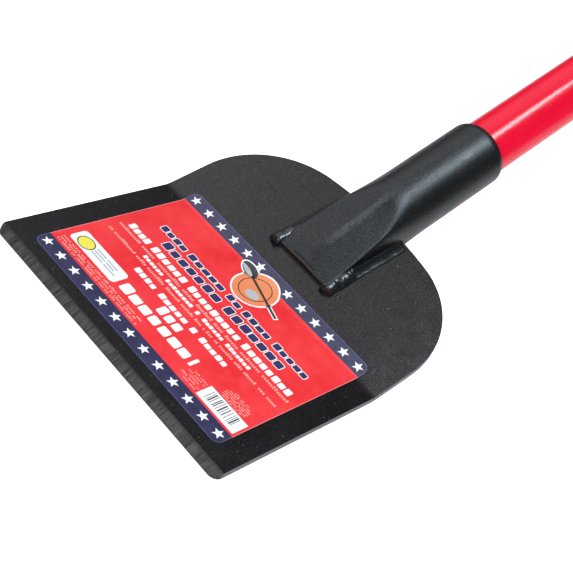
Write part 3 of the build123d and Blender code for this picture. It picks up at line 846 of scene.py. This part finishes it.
def ground_bevel():
    """Skin over the ground front face: coarse marks left by the grinding
    wheel, running from the edge to the top face."""
    steps_up, steps_across = 14, 760
    rise = BLADE_T - BEVEL_LAND
    slope = Vector((BEVEL_RUN, 0, rise)).normalized()
    normal = Vector((-slope.z, 0, slope.x))
    verts = []
    for is_top in (False, True):
        for i in range(steps_up + 1):
            t = i / steps_up
            x = BEVEL_RUN * t
            half = corner_half(BLADE_W / 2, CORNER_R, x) - 0.03
            sunk = 0.25 * min(1.0, 6 * t + 0.05, 6 * (1 - t) + 0.05)
            for j in range(steps_across + 1):
                y = half * (2 * j / steps_across - 1)
                h = grind_height(y, t) if is_top else -sunk
                verts.append((Vector((x, y, BEVEL_LAND + rise * t)) + normal * h) * MM)
    faces = sheet_faces(steps_up + 1, steps_across + 1)
    obj = add_object("ground_bevel", verts, faces, MATERIALS["grind"])
    face_outwards(obj, sharp_degrees=50)
    ride(obj)


ground_bevel()

# ----------------------------------------------------------------------- welds
WELD_Y = 21.3        # middle of a run, beside the socket
WELD_INNER_Y = 19.7  # runs are cut off here, towards the middle
# Bead radius round its section: angle from the outer side in degrees, radius.
FILLET = ((0, 6.5), (6, 5.4), (14, 4.4), (30, 3.6), (50, 3.5), (72, 4.2), (90, 4.9),
          (112, 4.9), (140, 4.4), (180, 3.0))
# Name, CAD node replaced, side (+1 left), under the plate, u at start and end,
# lumps as (u, half length, strength), noise seed.
WELDS = (
    ("weld_run_right", "weld_top_right", -1, False, 24.6, 96.6,
     ((30.5, 7.5, 1.05), (41.5, 7.5, 1.15), (48.5, 3.0, 0.5), (94.2, 2.2, 0.35)), 3.3),
    ("weld_run_left", "weld_top_left", 1, False, 24.4, 96.6,
     ((29.5, 6.5, 1.05), (38.0, 6.5, 0.9), (45.0, 3.0, 0.35)), 8.1),
    ("weld_low_right", "weld_under_right", -1, True, 40.6, 96.2,
     ((45.0, 6.0, 0.9), (70.0, 5.0, 0.4)), 12.4),
    ("weld_low_left", "weld_under_left", 1, True, 40.6, 96.2,
     ((45.0, 6.0, 0.8), (78.0, 5.0, 0.35)), 17.9),
)


def smooth_step(a, b, x):
    t = max(0.0, min(1.0, (x - a) / (b - a)))
    return t * t * (3 - 2 * t)


def fillet_radius(angle):
    for (a0, r0), (a1, r1) in zip(FILLET, FILLET[1:]):
        if angle <= a1:
            return r0 + (r1 - r0) * (angle - a0) / (a1 - a0)
    return FILLET[-1][1]


def round_end(distance, length):
    """Scale of the section that rounds off an end over the given length."""
    return math.sqrt(max(0.0, 1 - max(0.0, 1 - distance / length) ** 2))


def bead_radius(u, angle, lift, seed):
    t = math.radians(angle)
    base = fillet_radius(angle)
    fat = 5.9 - 0.5 * math.sin(t / 2) ** 2
    r = base + (fat - base) * min(1.0, lift) + max(0.0, lift - 1.0) * 1.2
    # ripples, bowed along the run
    chevron = u + 1.2 * math.cos(t) ** 2
    phase = chevron / 3.1 + 0.5 * noise.noise(Vector((u * 0.12, seed, 0)))
    ripple = 0.5 + 0.5 * math.cos(2 * math.pi * phase)
    r += (0.03 + 0.035 * min(1.0, lift)) * (ripple - 0.5)
    r += 0.5 * noise.noise(Vector((u * 0.15, math.cos(t) * 0.9, seed)))
    r += 0.12 * noise.noise(Vector((u * 0.4, math.cos(t) * 1.3, seed + 9)))
    return r


def weld_bead(name, node, side, under, u0, u1, lumps, seed):
    """A painted weld run beside the socket: a flat fillet with ripples and
    heavy rounded lumps. One closed ring loft."""
    stations, ring = 230, 48
    verts, faces = [], []
    for i in range(stations + 1):
        u = u0 + (u1 - u0) * i / stations
        end = max(round_end(u - u0, 3.6) * round_end(u1 - u, 5.0), 0.05)
        lift = sum(k * smooth_step(c - w, c - w * 0.25, u)
                   * (1 - smooth_step(c + w * 0.25, c + w, u)) for c, w, k in lumps)
        full = min(1.0, lift)
        centre = WELD_Y + 0.9 * full
        for j in range(ring + 1):
            angle = 180.0 * j / ring
            t = math.radians(angle)
            r = bead_radius(u, angle, lift, seed) * end
            y = max(centre + r * math.cos(t), WELD_INNER_Y) * side
            h = r * math.sin(t) * (0.93 if lift > 0.5 else 1.0)
            verts.append(on_rear(u, y, -BLADE_T - h if under else h) * MM)
        # closing points a little inside the plate
        for y in (WELD_INNER_Y, centre + (5.9 - 0.2 * full) * end * 0.96):
            h = -BLADE_T + 0.5 if under else -0.5
            verts.append(on_rear(u, side * max(y, WELD_INNER_Y), h) * MM)
    n = ring + 3
    for i in range(stations):
        for j in range(n):
            k = (j + 1) % n
            faces.append((i * n + j, i * n + k, (i + 1) * n + k, (i + 1) * n + j))
    faces.append(tuple(range(n)))
    faces.append(tuple(range(stations * n + n - 1, stations * n - 1, -1)))
    obj = add_object(name, verts, faces, MATERIALS["weld"])
    bm = bmesh.new()
    bm.from_mesh(obj.data)
    bmesh.ops.remove_doubles(bm, verts=bm.verts[:], dist=1e-7)
    bmesh.ops.triangulate(bm, faces=[f for f in bm.faces if len(f.verts) > 4])
    bmesh.ops.recalc_face_normals(bm, faces=bm.faces[:])
    bm.to_mesh(obj.data)
    bm.free()
    shade_smooth(obj.data)
    ride(obj)
    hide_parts(node)


for weld in WELDS:
    weld_bead(*weld)

# Drops of weld metal: u, y, radius.
DROPS = ((31.2, -30.4, 1.5), (33.0, -29.6, 0.9), (94.6, -25.0, 0.75), (97.0, -22.6, 0.6),
         (52.0, -28.7, 0.45), (67.0, -29.3, 0.4), (25.5, 27.3, 0.5), (40.0, 30.0, 0.4))


def spatter():
    """Small drops of weld metal under the paint beside the upper runs."""
    bm = bmesh.new()
    for u, y, radius in DROPS:
        ball = bmesh.ops.create_icosphere(bm, subdivisions=3, radius=1.0)
        for v in ball["verts"]:
            p = v.co.copy()
            k = 1 + 0.22 * noise.noise(p * 1.4 + Vector((u, y, 0)))
            v.co = on_rear(u + p.x * radius * k, y + p.y * radius * k,
                           p.z * radius * 0.55 * k) * MM
    mesh = bpy.data.meshes.new("weld_spatter")
    bm.to_mesh(mesh)
    bm.free()
    shade_smooth(mesh)
    ride(link_object("weld_spatter", mesh, MATERIALS["weld"]))


spatter()


def front_fill():
    """Paint gathered in the corner where the pressed tongue's blunt front
    end meets the blade, feathered out onto the plate."""
    steps_across, steps_out = 130, 12
    half, front_u = 20.4, 28.95
    verts = []
    for is_top in (False, True):
        for i in range(steps_out + 1):
            t = i / steps_out
            for j in range(steps_across + 1):
                y = half * (2 * j / steps_across - 1)
                side = min(1.0, (half - abs(y)) / 1.5 + 0.25)
                reach = 4.6 + 0.5 * noise.noise(Vector((y * 0.13, 2.2, 0)))
                h = -0.3
                if is_top:
                    tall = (2.2 + 0.18 * noise.noise(Vector((y * 0.2, 8.2, 0)))) * side
                    rough = 0.03 * noise.noise(Vector((y * 0.5, t * 2, 4.0)))
                    h = max(tall * (1 - t) ** 2.1 + 0.05 * (1 - t) + rough, 0.012)
                verts.append(on_rear(front_u - reach * t, y, h) * MM)
    faces = sheet_faces(steps_out + 1, steps_across + 1)
    obj = add_object("tongue_front_paint", verts, faces, MATERIALS["blade"])
    face_outwards(obj, sharp_degrees=50)
    ride(obj)


front_fill()

# ------------------------------------------------------- materials of CAD nodes
for node, key in (
    ("blade", "blade"), ("socket", "socket"), ("weld_top_left", "weld"),
    ("weld_top_right", "weld"), ("weld_under_left", "weld"), ("weld_under_right", "weld"),
    ("handle_outer_tube", "handle"), ("handle_inner_tube", "liner"), ("handle_plug", "wood"),
    ("socket_rivet", "rivet"), ("end_cap", "cap"),
):
    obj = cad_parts[node]
    if not obj.material_slots:
        obj.data.materials.append(None)
    for slot in obj.material_slots:
        slot.material = MATERIALS[key]


# ----------------------------------------------------------------------- floor
def floor_material():
    """Near-white floor that glows, but only dimly in reflections."""
    m = Mat("studio_floor")
    colour = m.mix(m.noise(scale=3.0), (0.86, 0.86, 0.86), (0.90, 0.90, 0.90))
    m.finish(colour=colour, rough=0.9, spec=0.0)
    glossy = m.node("LightPath").outputs["Is Glossy Ray"]
    strength = m.range(glossy, span=(0.0, 1.0), to=(0.88, 0.12))
    glow = m.node("Emission", {"Color": (1, 1, 1), "Strength": strength})
    total = m.node("AddShader", {0: m.shader.outputs[0], 1: glow.outputs[0]})
    connect(m.tree, total.outputs[0], m.out.inputs[0])
    return m.material


def floor():
    n, size, centre_x, z = 24, 6.0, 0.4, -0.0012
    verts = [((i / n - 0.5) * size + centre_x, (j / n - 0.5) * size, z)
             for i in range(n + 1) for j in range(n + 1)]
    faces = [
        (i * (n + 1) + j, (i + 1) * (n + 1) + j, (i + 1) * (n + 1) + j + 1, i * (n + 1) + j + 1)
        for i in range(n) for j in range(n)
    ]
    add_object("studio_floor", verts, faces, floor_material())


floor()


# ----------------------------------------------------------------------- world
# Sky strength against 0.75 z + 0.6 y of the direction: (value, strength).
SKY_CURVE = ((0.0, 0.05), (0.45, 0.03), (0.62, 0.03), (0.72, 0.13), (0.80, 0.28),
             (0.87, 0.62), (0.93, 0.90), (1.0, 0.95))


def studio_world():
    """Plain white to the camera; for all other rays, bright overhead and to +Y."""
    world = bpy.data.worlds.new("studio")
    bpy.context.scene.world = world
    world.use_nodes = True
    tree = world.node_tree
    tree.nodes.clear()
    direction = add_node(tree, "TexCoord").outputs["Generated"]
    axes = add_node(tree, "SeparateXYZ", {0: direction}).outputs
    up_part = add_node(tree, "Math", {0: axes["Z"], 1: 0.75}, operation="MULTIPLY")
    both = add_node(tree, "Math", {0: axes["Y"], 1: 0.6, 2: up_part.outputs[0]},
                    operation="MULTIPLY_ADD")
    ramp = add_node(tree, "FloatCurve", {"Value": both.outputs[0]})
    curve = ramp.mapping.curves[0]
    ramp.mapping.extend = "HORIZONTAL"
    curve.points[0].location = SKY_CURVE[0]
    curve.points[1].location = SKY_CURVE[-1]
    for point in SKY_CURVE[1:-1]:
        curve.points.new(*point)
    ramp.mapping.update()
    sky = add_node(tree, "Background", {"Color": (1.55, 1.55, 1.58),
                                        "Strength": ramp.outputs[0]})
    white = add_node(tree, "Background", {"Color": (1, 1, 1), "Strength": 1.0})
    is_camera = add_node(tree, "LightPath").outputs["Is Camera Ray"]
    mix = add_node(tree, "MixShader", {0: is_camera, 1: sky.outputs[0], 2: white.outputs[0]})
    add_node(tree, "OutputWorld", {0: mix.outputs[0]})


studio_world()

# ---------------------------------------------------------------------- lights
FOCUS = Vector((0.22, 0.0, 0.04))  # point both lights are aimed at


def soft_light(name, towards, distance, size, power, colour):
    """Rectangular light out from the focus along towards, facing back to it."""
    towards = Vector(towards).normalized()
    light = bpy.data.lights.new(name, "AREA")
    light.shape = "RECTANGLE"
    light.size, light.size_y = size
    light.energy = power
    light.color = colour
    obj = bpy.data.objects.new(name, light)
    bpy.context.scene.collection.objects.link(obj)
    obj.location = FOCUS + towards * distance
    obj.rotation_mode = "QUATERNION"
    obj.rotation_quaternion = (-towards).to_track_quat("-Z", "Y")


soft_light("overhead_softbox", towards=(0.20, -0.17, 0.965), distance=1.7,
           size=(0.75, 0.2), power=20.0, colour=(0.84, 0.94, 1.0))
soft_light("camera_side_fill", towards=(-0.60, -0.20, 0.52), distance=0.95,
           size=(0.5, 0.5), power=3.5, colour=(1.0, 1.0, 1.0))


# ---------------------------------------------------------------------- camera
def studio_camera():
    lens = bpy.data.cameras.new("camera")
    lens.sensor_width = 36.0
    lens.lens = 74.12
    lens.clip_start, lens.clip_end = 0.01, 50
    obj = bpy.data.objects.new("camera", lens)
    bpy.context.scene.collection.objects.link(obj)
    right = Vector((0.64717, -0.64965, 0.39890))
    up = Vector((0.23105, 0.66580, 0.70946))
    back = Vector((-0.72649, -0.36698, 0.58099))
    turn = Matrix((right, up, back)).transposed().to_4x4()
    obj.matrix_world = Matrix.Translation((-0.37254, -0.26544, 0.41557)) @ turn
    bpy.context.scene.camera = obj


studio_camera()
bpy.context.scene.view_settings.view_transform = "Standard"
